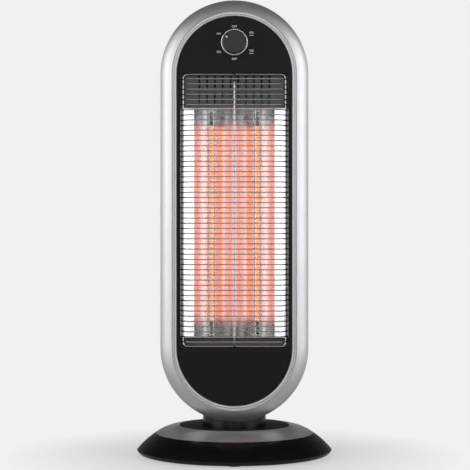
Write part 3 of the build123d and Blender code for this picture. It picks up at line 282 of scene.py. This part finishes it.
def make_materials(settings):
    """One material for each slot of the record, named for its real finish; the reflector and the vent
    plate also carry painted light.
    """
    silver = list(settings.silver) + [1.0]
    black = list(settings.panel_black) + [1.0]
    gloss = linear("0b0b0c")
    return {
        # satin silver lacquer over moulded plastic
        "silver_paint": finish_material(
            "silver_lacquer", silver, 0.46, metal=0.9, grain=0.8, depth=0.002, spread=0.02,
            shade=0.04, extra=lacquer_flakes),
        # satin black moulding of the front
        "black_panel": finish_material(
            "satin_black_abs", black, 0.42, grain=0.45, depth=0.006, spread=0.03, shine=0.14,
            extra=mould_texture(0.5, 0.006)),
        # vent plate in dark grey, lighter than the black front: painted light for the light falling on it
        "vent_plate": finish_material(
            "vent_grey_painted_light", linear("5a5b5c"), 0.5, metal=0.2, grain=0.7, depth=0.01, shade=0.2),
        # polished black moulding
        "black_gloss": finish_material(
            "polished_black_abs", gloss, 0.22, grain=9.0, depth=0.01, spread=0.04, shine=0.4),
        # textured black moulding of the back and the bottom
        "black_cover": finish_material(
            "textured_black_abs", linear("1d1d1f"), 0.52, extra=mould_texture(0.9, 0.05)),
        # rolled and polished aluminium sheet, its rolling marks upright, with the elements' red light
        # painted on as emission (painted reflection)
        "bright_reflector": finish_material(
            "polished_aluminium", linear("dcdcdd"), 0.27, metal=1.0, grain=0.9, depth=0.006,
            stretch=(1, 1, 0.03), shade=0.08, extra=painted_trough_reflection(settings)),
        # bright plated wire
        "guard_wire": finish_material(
            "bright_plated_wire", linear("b9b9bb"), 0.22, metal=1.0, grain=0.8, depth=0.01, shade=0.2),
        "quartz": quartz_material(),
        "carbon": glowing_carbon(settings),
        # unglazed steatite
        "ceramic_cap": finish_material(
            "steatite", linear("ddd8cb"), 0.62, grain=0.35, depth=0.04, patch=6.0, shade=0.15),
        # zinc plated sheet and screws
        "zinc_steel": finish_material(
            "zinc_plate", linear("a9adb1"), 0.36, metal=1.0, grain=0.3, depth=0.01, shade=0.12,
            extra=zinc_spangle),
        # satin dark grey cap of the knob
        "knob_black": finish_material(
            "satin_charcoal_abs", linear("27282a"), 0.38, grain=0.3, depth=0.02, patch=12.0, shine=0.3,
            extra=mould_texture(0.4, 0.015)),
        # satin plated ring of the knob
        "knob_chrome": finish_material(
            "satin_chrome", linear("c9cacc"), 0.20, metal=1.0, grain=0.5, depth=0.004),
        # white inlay and printing
        "white_mark": finish_material(
            "white_ink", linear("d9d9d6"), 0.55, grain=0.2, depth=0.01, patch=3.0),
        # moulded rubber
        "rubber_black": finish_material(
            "moulded_rubber", linear("202021"), 0.78, grain=0.5, depth=0.05, shade=0.25),
        # raw steel plate with mill scale
        "ballast_steel": finish_material(
            "mill_scale_steel", linear("4c4d50"), 0.55, metal=0.9, grain=1.5, depth=0.06, spread=0.12,
            shade=0.35),
        # natural nylon
        "nylon_white": finish_material(
            "natural_nylon", linear("dcd8cc"), 0.42, grain=0.6, depth=0.02, patch=15.0, shade=0.08),
        # brown phenolic moulding
        "switch_body": finish_material(
            "phenolic_moulding", linear("3a2f29"), 0.45, grain=0.5, depth=0.02, patch=8.0, shade=0.25),
        # silicone insulation
        "wire_sleeve": finish_material(
            "silicone_sleeve", linear("a02e24"), 0.5, grain=0.5, depth=0.02, patch=10.0, shade=0.12),
        # oil-tempered spring wire
        "spring_steel": finish_material(
            "spring_wire", linear("8c8f93"), 0.3, metal=1.0, grain=0.3, depth=0.01, shade=0.18),
        # graphite blocks and nickel leads at the ends of the elements
        "graphite": finish_material(
            "graphite", linear("3b3c3f"), 0.6, metal=0.3, grain=0.3, depth=0.03, patch=4.0, shade=0.3),
        # tinned brass clamps of the terminals
        "brass": finish_material(
            "tinned_brass", linear("b8a36a"), 0.3, metal=1.0, grain=0.4, depth=0.01, shade=0.15),
    }


# Filled by the finishes operator
MATERIALS = {}


# Mesh helpers


def add_piece(name, vertices, faces, slot, body, material=None, smooth=True):
    """Makes a mesh object in place, gives it its slot's material and lets it ride on a body."""
    mesh = bpy.data.meshes.new(name)
    mesh.from_pydata(np.asarray(vertices, dtype=float).tolist(), [], faces)
    mesh.update()
    if smooth:
        mesh.polygons.foreach_set("use_smooth", np.ones(len(mesh.polygons), dtype=bool))
    mesh.materials.append(MATERIALS[material or slot])
    piece = bpy.data.objects.new(name, mesh)
    bpy.context.scene.collection.objects.link(piece)
    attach(piece, body)
    return piece


def grid_faces(rows, columns):
    """Quads over a grid of vertices numbered row by row, where each row is a closed loop."""
    row, column = np.meshgrid(np.arange(rows - 1), np.arange(columns), indexing="ij")
    after = (column + 1) % columns
    this_row, next_row = row * columns, (row + 1) * columns
    quads = np.stack([this_row + column, this_row + after, next_row + after, next_row + column], axis=-1)
    return quads.reshape(-1, 4).tolist()


def joined(parts):
    """One list of vertices and one of faces from several (vertices, faces)."""
    vertices, faces, count = [], [], 0
    for part_vertices, part_faces in parts:
        vertices.append(np.asarray(part_vertices))
        faces += [[i + count for i in face] for face in part_faces]
        count += len(part_vertices)
    return np.concatenate(vertices), faces


def revolved(radii, heights):
    """Surface of revolution about +Z from rows of radii and heights, one value for each angle.

    Vertex (row, column) is (r cos a, r sin a, h), where a runs once round the axis.
    """
    radii, heights = np.asarray(radii), np.asarray(heights)
    rows, columns = radii.shape
    angle = np.linspace(0, 2 * np.pi, columns, endpoint=False)
    points = np.stack([radii * np.cos(angle), radii * np.sin(angle), heights], axis=-1)
    return points.reshape(-1, 3), grid_faces(rows, columns)


def turned(profile, columns=32):
    """Plain surface of revolution about +Z from (radius, height) pairs."""
    profile = np.asarray(profile, dtype=float)
    ones = np.ones((1, columns))
    return revolved(profile[:, :1] * ones, profile[:, 1:] * ones)


def placed(part, place, up=(0, 0, 1)):
    """A part moved so that its origin is at a place and its +Z points along one of the axes."""
    points, faces = part
    x, y, z = points.T
    turns = {
        (0, 0, 1): (x, y, z), (0, 0, -1): (x, -y, -z),
        (0, 1, 0): (-x, z, y), (0, -1, 0): (x, -z, y),
    }
    return np.stack(turns[up], axis=-1) + np.asarray(place), faces


def on_circle(radius, count, start=0.0, centre=(0.0, 0.0)):
    """Evenly spaced points on a circle."""
    angles = np.radians(start) + np.arange(count) * 2 * np.pi / count
    return [(centre[0] + radius * math.cos(a), centre[1] + radius * math.sin(a)) for a in angles]


# Pieces


def ribbon_coil(centre, low, high, radius, pitch, width, thickness, steps=20):
    """Flat ribbon wound into a helix.

    The middle of the ribbon at turn t is (r cos 2 pi t, r sin 2 pi t, low + pitch t). Its section
    is a rectangle, wide along Z and thin along the radius.
    """
    turns = (high - low) / pitch
    t = np.linspace(0, turns, int(turns * steps))
    section = [(1, -1), (1, 1), (-1, 1), (-1, -1)]
    rows = []
    for inward, upward in section:
        r = radius + inward * thickness / 2
        z = low + pitch * t + upward * width / 2
        angle = 2 * np.pi * t
        rows.append(np.stack([centre[0] + r * np.cos(angle), centre[1] + r * np.sin(angle), z], axis=-1))
    points = np.stack(rows, axis=1).reshape(-1, 3)
    faces = grid_faces(len(t), 4)
    faces += [[3, 2, 1, 0], [len(points) - 4 + i for i in range(4)]]
    return points, faces


def tube_centre(side):
    """Middle of one quartz tube in plan."""
    low, high = TUBES[side]
    return ((low[0] + high[0]) / 2, (low[1] + high[1]) / 2)


def element_end(centre, start, stop):
    """Graphite block at one end of an element, its lead to the end of the tube and a support coil."""
    block_radius, block_half = 0.0031, 0.004
    chamfer, shoulder = 0.0003, 0.0005
    collar_radius, lead_radius, lead_gap = 0.0008, 0.0005, 0.0002
    support_near, support_far = 0.0055, 0.0155
    support_radius, support_pitch, support_wire = 0.0026, 0.0016, 0.0006

    way = 1 if stop > start else -1
    lead_end = abs(stop - start) - lead_gap
    profile = [
        (0, -block_half), (block_radius - chamfer, -block_half),
        (block_radius, shoulder - block_half), (block_radius, block_half - shoulder),
        (block_radius - chamfer, block_half), (collar_radius, block_half),
        (lead_radius, block_half + shoulder), (lead_radius, lead_end), (0, lead_end),
    ]
    low, high = sorted((start + way * support_near, start + way * support_far))
    return [
        placed(turned(profile, 20), (*centre, start), (0, 0, way)),
        ribbon_coil(centre, low, high, support_radius, support_pitch, support_wire, support_wire),
    ]


def screw(head_radius, head_height, shank_radius, shank_length, columns=24):
    """Pan head with a cross recess above z = 0 and a threaded shank below it.

    The head's height falls off from the middle as 1 - 0.45 (r / R) squared and drops by half the
    head within the cross, whose arms are 0.3 R wide and reach out to 0.6 R. The thread's radius
    swings along z / pitch - angle / 2 pi.
    """
    angle = np.linspace(0, 2 * np.pi, columns, endpoint=False)
    ones = np.ones(columns)
    pitch = max(shank_radius * 0.55, 0.0005)
    rows = [(0 * ones, -shank_length * ones)]
    count = max(int(shank_length / pitch * 4), 4)
    for z in np.linspace(-shank_length, -0.02 * shank_length, count):
        phase = (z / pitch - angle / (2 * np.pi)) % 1.0
        rows.append((shank_radius * (1 - 0.16 * np.abs(2 * phase - 1)), z * ones))
    rows.append((shank_radius * ones, 0 * ones))
    rows.append((head_radius * ones, 0 * ones))
    for share in np.concatenate([[1.0, 0.97, 0.88, 0.76], np.linspace(0.62, 0.0, 8)]):
        r = share * head_radius
        across = np.minimum(np.abs(r * np.cos(angle)), np.abs(r * np.sin(angle)))
        recess = (across < 0.15 * head_radius) & (share < 0.6)
        height = head_height * (1 - 0.45 * share**2 - 0.5 * recess)
        rows.append((r * ones, height * ones))
    return revolved([r for r, _ in rows], [z for _, z in rows])


def text_part(words, size, x, z):
    """Words in the built-in typeface, flat on the panel with their middle at (x, z)."""
    curve = bpy.data.curves.new("label", "FONT")
    curve.body = words
    curve.size = size
    curve.align_x = "CENTER"
    curve.align_y = "CENTER"
    curve.extrude = INK
    holder = bpy.data.objects.new("label", curve)
    bpy.context.scene.collection.objects.link(holder)
    bpy.context.view_layer.update()
    mesh = bpy.data.meshes.new_from_object(holder.evaluated_get(bpy.context.evaluated_depsgraph_get()))
    flat = np.empty(len(mesh.vertices) * 3)
    mesh.vertices.foreach_get("co", flat)
    faces = [list(p.vertices) for p in mesh.polygons]
    bpy.data.objects.remove(holder)
    bpy.data.meshes.remove(mesh)
    bpy.data.curves.remove(curve)
    u, v, w = flat.reshape(-1, 3).T
    return np.stack([x + u, PANEL_FRONT - INK_LIFT - w, z + v], axis=-1), faces


def flat_shape(outline, x, z):
    """A flat outline of (x, z) pairs on the panel, as thick as the printed words."""
    count = len(outline)
    front = [(x + u, PANEL_FRONT - INK_LIFT - INK, z + v) for u, v in outline]
    back = [(x + u, PANEL_FRONT - INK_LIFT + INK, z + v) for u, v in outline]
    faces = [list(range(count)), list(range(2 * count - 1, count - 1, -1))]
    faces += [[i, i + count, (i + 1) % count + count, (i + 1) % count] for i in range(count)]
    return np.array(front + back), faces


SCREW_SETS = [
    # node, body, (x, y, z) places of the underside of the heads, axis, head radius, head height,
    # shank radius, shank length, all in millimetres
    ("case_screws", "head", [(x, -14.0, HEAD_MIDDLE / MM + z) for x in (-92, 92) for z in (-186, 0, 186)],
     (0, 1, 0), 3.8, 2.0, 1.75, 18.0),
    ("shield_screws", "head",
     [(x, 17.5, HEAD_MIDDLE / MM + z) for x in (-65.3, 65.3) for z in (-175, 158)],
     (0, -1, 0), 3.5, 2.0, 1.75, 1.0),
    ("neck_screws", "head", [(x, y, 47.5) for x in (-20, 20) for y in (-10, 26)],
     (0, 0, -1), 3.6, 2.0, 1.95, 14.5),
    ("swing_screws", "head", [(x, y, 27.7) for x, y in on_circle(27.0, 4, 45)],
     (0, 0, -1), 2.4, 1.2, 1.2, 7.0),
    ("bearing_screws", "base", [(x, y, 30.0) for x, y in on_circle(68.0, 4)],
     (0, 0, -1), 3.4, 2.0, 1.45, 6.0),
    ("base_screws", "base", [(x, y, 3.2) for x, y in on_circle(105.0, 4, 45)],
     (0, 0, -1), 3.8, 1.0, 1.75, 11.0),
    ("motor_screws", "base", [(x, 16.0, 19.0) for x in (-30, 30)],
     (0, 0, 1), 3.2, 1.6, 1.75, 1.0),
]

# Stage


STUDIO_LIGHTS = [
    # name, place, width and height, share of the side lights' power
    ("left_softbox", (-1.5, -0.75, 0.6), (1.2, 1.9), 1.0),
    ("right_softbox", (1.5, -0.75, 0.6), (1.2, 1.9), 1.0),
    ("left_strip", (-0.6, -2.5, 0.4), (0.4, 1.6), 0.3),
    ("right_strip", (0.6, -2.5, 0.4), (0.4, 1.6), 0.3),
    ("front_fill", (0.0, -2.6, 1.6), (1.6, 0.5), 0.35),
    ("back_fill", (0.0, 1.7, 2.2), (1.2, 0.8), 0.8),
]


def studio_world(backdrop):
    """Soft grey light, stronger low down and in front, behind which the camera sees the backdrop."""
    world = bpy.data.worlds.new("studio")
    world.use_nodes = True
    tree = world.node_tree
    tree.nodes.clear()
    coords = add_node(tree, "ShaderNodeTexCoord")
    axes = add_node(tree, "ShaderNodeSeparateXYZ", {"Vector": coords.outputs["Generated"]})
    height_share = between(tree, axes.outputs["Z"], -0.1, 0.6, 1.0, 0.2)
    front_share = between(tree, axes.outputs["Y"], -1.0, 0.3, 0.42, 0.16)
    dim = add_node(tree, "ShaderNodeMath", {
        0: height_share, 1: front_share,
    }, operation="MULTIPLY").outputs[0]
    grey = add_node(tree, "ShaderNodeCombineColor", {0: dim, 1: dim, 2: dim})
    path = add_node(tree, "ShaderNodeLightPath")
    seen = blended(tree, path.outputs["Is Camera Ray"], grey.outputs[0], backdrop)
    light = add_node(tree, "ShaderNodeBackground", {"Color": seen, "Strength": 1.0})
    out = add_node(tree, "ShaderNodeOutputWorld")
    tree.links.new(light.outputs[0], out.inputs["Surface"])
    return world


def floor_material(backdrop):
    """Matt pale floor that takes the shadow and fades into the backdrop away from the base."""
    near, far = 0.15, 0.34
    pale = bpy.data.materials.new("pale_floor")
    pale.use_nodes = True
    tree = pale.node_tree
    tree.nodes.remove(tree.nodes["Principled BSDF"])
    grain = add_node(tree, "ShaderNodeTexNoise", {
        "Vector": in_mm(tree, 4.0), "Scale": 1.0, "Detail": 3.0,
    })
    tone = blended(tree, grain.outputs["Fac"], linear("dededd"), linear("e6e6e5"))
    matt = add_node(tree, "ShaderNodeBsdfDiffuse", {"Color": tone})
    even = add_node(tree, "ShaderNodeEmission", {"Color": backdrop, "Strength": 1.0})
    coords = add_node(tree, "ShaderNodeTexCoord")
    away = add_node(tree, "ShaderNodeVectorMath", {0: coords.outputs["Object"]}, operation="LENGTH")
    fade = between(tree, away.outputs["Value"], near, far, 0.55, 1.0)
    path = add_node(tree, "ShaderNodeLightPath")
    share = add_node(tree, "ShaderNodeMath", {
        0: path.outputs["Is Camera Ray"], 1: fade,
    }, operation="MULTIPLY")
    mix = add_node(tree, "ShaderNodeMixShader", {
        0: share.outputs[0], 1: matt.outputs[0], 2: even.outputs[0],
    })
    tree.links.new(mix.outputs[0], tree.nodes["Material Output"].inputs["Surface"])
    return pale


def make_floor(scene, backdrop):
    """Round floor under the heater."""
    mesh = bpy.data.meshes.new("floor")
    points, faces = turned([(0, 0), (0.3, 0), (0.8, 0), (3.0, 0)], 64)
    mesh.from_pydata(points.tolist(), [], faces)
    floor = bpy.data.objects.new("floor", mesh)
    scene.collection.objects.link(floor)
    mesh.materials.append(floor_material(backdrop))
    return floor


def make_light(scene, name, place, size, share):
    """Rectangular area light that faces the middle of the heater."""
    lamp = bpy.data.lights.new(name, "AREA")
    lamp.shape = "RECTANGLE"
    lamp.size, lamp.size_y = size
    lamp.energy = scene.heater.key_light * share
    light = bpy.data.objects.new(name, lamp)
    light.location = place
    aim = np.array([0, 0, 0.32]) - np.array(place)
    yaw = math.atan2(aim[1], aim[0]) - math.pi / 2
    pitch = math.atan2(aim[2], math.hypot(aim[0], aim[1])) + math.pi / 2
    light.rotation_euler = (pitch, 0, yaw)
    scene.collection.objects.link(light)
    return light


def make_camera(scene):
    """Level camera in front of the heater, shifted to frame it as the photograph does."""
    lens = bpy.data.cameras.new("camera")
    lens.sensor_width = 36.0
    lens.lens = CAMERA_LENS
    lens.shift_x, lens.shift_y = CAMERA_SHIFT
    camera = bpy.data.objects.new("camera", lens)
    camera.location = CAMERA_PLACE
    camera.rotation_euler = (math.radians(90), 0, 0)
    scene.collection.objects.link(camera)
    scene.camera = camera
    return camera


# Settings and operators


class HeaterSettings(bpy.types.PropertyGroup):
    """Colours and strengths of the heater's looks."""

    silver: bpy.props.FloatVectorProperty(
        name="Silver", description="Colour of the silver lacquer", subtype="COLOR",
        size=3, min=0, max=1, default=linear("c9cbcd")[:3])
    panel_black: bpy.props.FloatVectorProperty(
        name="Panel black", description="Colour of the black front", subtype="COLOR",
        size=3, min=0, max=1, default=linear("121213")[:3])
    filament_colour: bpy.props.FloatVectorProperty(
        name="Element", description="Colour of the glowing elements", subtype="COLOR",
        size=3, min=0, max=1, default=(1.0, 0.42, 0.12))
    filament_glow: bpy.props.FloatProperty(
        name="Element glow", description="Emission strength of the elements", min=0, default=1.5)
    # colour of the red light painted on the reflector as emission
    glow_colour: bpy.props.FloatVectorProperty(
        name="Glow", description="Colour of the light in the reflector", subtype="COLOR",
        size=3, min=0, max=1, default=(0.85, 0.10, 0.04))
    # strength of the red light painted on the reflector as emission
    glow: bpy.props.FloatProperty(
        name="Reflector glow", description="Strength of the red light in the reflector",
        min=0, default=0.42)
    coil_pitch: bpy.props.FloatProperty(
        name="Coil pitch", description="Distance between the turns of an element",
        subtype="DISTANCE", unit="LENGTH", min=0.001, default=0.0055)
    label_size: bpy.props.FloatProperty(
        name="Label size", description="Size of the words round the knob", subtype="DISTANCE",
        unit="LENGTH", min=0.001, default=0.0042)
    key_light: bpy.props.FloatProperty(
        name="Side lights", description="Power of the two side lights", subtype="POWER",
        unit="POWER", min=0, default=18.0)


class HEATER_OT_finishes(bpy.types.Operator):
    """Give every CAD piece the material of its slot"""
    bl_idname = "heater.finishes"
    bl_label = "Finishes"

    def execute(self, context):
        MATERIALS.update(make_materials(context.scene.heater))
        for part in frame["record"]["subparts"]:
            piece = frame["nodes"][part["node"]]
            for holder in piece.material_slots:
                holder.material = MATERIALS[part["material_slot"]]
        return {"FINISHED"}


class HEATER_OT_elements(bpy.types.Operator):
    """Wind the glowing carbon elements and put in their graphite ends and leads"""
    bl_idname = "heater.elements"
    bl_label = "Carbon elements"

    def execute(self, context):
        pitch = context.scene.heater.coil_pitch
        for side in TUBES:
            centre = tube_centre(side)
            coil = ribbon_coil(
                centre, HOT_LOW, HOT_HIGH, COIL_RADIUS, pitch, RIBBON_WIDTH, RIBBON_THICKNESS)
            piece = add_piece("element_" + side, *coil, "carbon", "head", smooth=False)
            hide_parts("carbon_filament_" + side)
            ends = element_end(centre, HOT_LOW, TUBE_LOW) + element_end(centre, HOT_HIGH, TUBE_HIGH)
            add_piece("element_ends_" + side, *joined(ends), "zinc_steel", "head", "graphite")
        return {"FINISHED"}


class HEATER_OT_dial(bpy.types.Operator):
    """Print the plain settings round the knob"""
    bl_idname = "heater.dial"
    bl_label = "Dial"

    def execute(self, context):
        size = context.scene.heater.label_size
        left, right = -0.0222, 0.0240
        # words, how far their middle lies to the right of the knob's and how far above it
        words = (
            ("OFF", 0, 0.0222), ("OFF", 0, -0.0238),
            ("450", left, 0.0120), ("900", left, -0.0140),
            ("450", right, 0.0136), ("900", right, -0.0120),
        )
        parts = [text_part(word, size, x, KNOB_HEIGHT + rise) for word, x, rise in words]
        # double arrow, in millimetres
        tip, barb, half_head, half_shaft = 3.0, 1.7, 1.0, 0.3
        arrow = [
            (-tip, 0), (-barb, half_head), (-barb, half_shaft), (barb, half_shaft), (barb, half_head),
            (tip, 0), (barb, -half_head), (barb, -half_shaft), (-barb, -half_shaft), (-barb, -half_head),
        ]
        arrow = [(u * MM, v * MM) for u, v in arrow]
        for rise in (0.0098, -0.0158):
            parts.append(flat_shape(arrow, right, KNOB_HEIGHT + rise))
        add_piece("dial_marks", *joined(parts), "white_mark", "head", smooth=False)
        return {"FINISHED"}


class HEATER_OT_screws(bpy.types.Operator):
    """Cut cross recesses and threads on every set of screws"""
    bl_idname = "heater.screws"
    bl_label = "Screws"

    def execute(self, context):
        for node, body, spots, axis, *sizes in SCREW_SETS:
            one = screw(*[size * MM for size in sizes])
            parts = [placed(one, [c * MM for c in spot], axis) for spot in spots]
            piece = add_piece(node + "_cut", *joined(parts), "zinc_steel", body)
            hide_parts(node)
        return {"FINISHED"}


class HEATER_OT_terminals(bpy.types.Operator):
    """Put clamp screws in the terminal blocks"""
    bl_idname = "heater.terminals"
    bl_label = "Terminal screws"

    def execute(self, context):
        one = screw(0.0021, 0.0016, 0.0012, 0.0012, 16)
        sunk = 0.0028
        low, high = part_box("base_terminal_block")
        middle, top = (low[1] + high[1]) / 2, high[2]
        base = [placed(one, (x * MM, middle, top - sunk)) for x in (-11, 0, 11)]
        add_piece("base_terminal_screws", *joined(base), "zinc_steel", "base", "brass")
        low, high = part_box("head_terminal_block")
        middle, back = (low[2] + high[2]) / 2, high[1]
        spots = [(x * MM, back - sunk, middle) for x in (-16.5, -5.5, 5.5, 16.5)]
        head = [placed(one, spot, (0, 1, 0)) for spot in spots]
        add_piece("head_terminal_screws", *joined(head), "zinc_steel", "head", "brass")
        return {"FINISHED"}


class HEATER_OT_stage(bpy.types.Operator):
    """Set up the floor, the backdrop, the lights and the camera"""
    bl_idname = "heater.stage"
    bl_label = "Stage"

    def execute(self, context):
        scene = context.scene
        scene.view_settings.view_transform = "Standard"
        backdrop = linear("f1f1f1")
        scene.world = studio_world(backdrop)
        floor = make_floor(scene, backdrop)
        lights = [make_light(scene, *setting) for setting in STUDIO_LIGHTS]
        camera = make_camera(scene)
        return {"FINISHED"}


class HEATER_PT_panel(bpy.types.Panel):
    """Heater tools in the sidebar of the 3D view"""
    bl_idname = "HEATER_PT_panel"
    bl_label = "Carbon heater"
    bl_space_type = "VIEW_3D"
    bl_region_type = "UI"
    bl_category = "Heater"

    def draw(self, context):
        column = self.layout.column()
        for name in HeaterSettings.__annotations__:
            column.prop(context.scene.heater, name)
        for operator in OPERATORS:
            column.operator(operator.bl_idname)


OPERATORS = (
    HEATER_OT_finishes, HEATER_OT_elements, HEATER_OT_dial, HEATER_OT_screws,
    HEATER_OT_terminals, HEATER_OT_stage,
)
CLASSES = (HeaterSettings, *OPERATORS, HEATER_PT_panel)


def register():
    for item in CLASSES:
        bpy.utils.register_class(item)
    bpy.types.Scene.heater = bpy.props.PointerProperty(type=HeaterSettings)


def unregister():
    del bpy.types.Scene.heater
    for item in reversed(CLASSES):
        bpy.utils.unregister_class(item)


def main():
    """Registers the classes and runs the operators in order."""
    register()
    bpy.ops.heater.finishes()
    bpy.ops.heater.elements()
    bpy.ops.heater.dial()
    bpy.ops.heater.screws()
    bpy.ops.heater.terminals()
    bpy.ops.heater.stage()


if __name__ == "__main__":
    main()
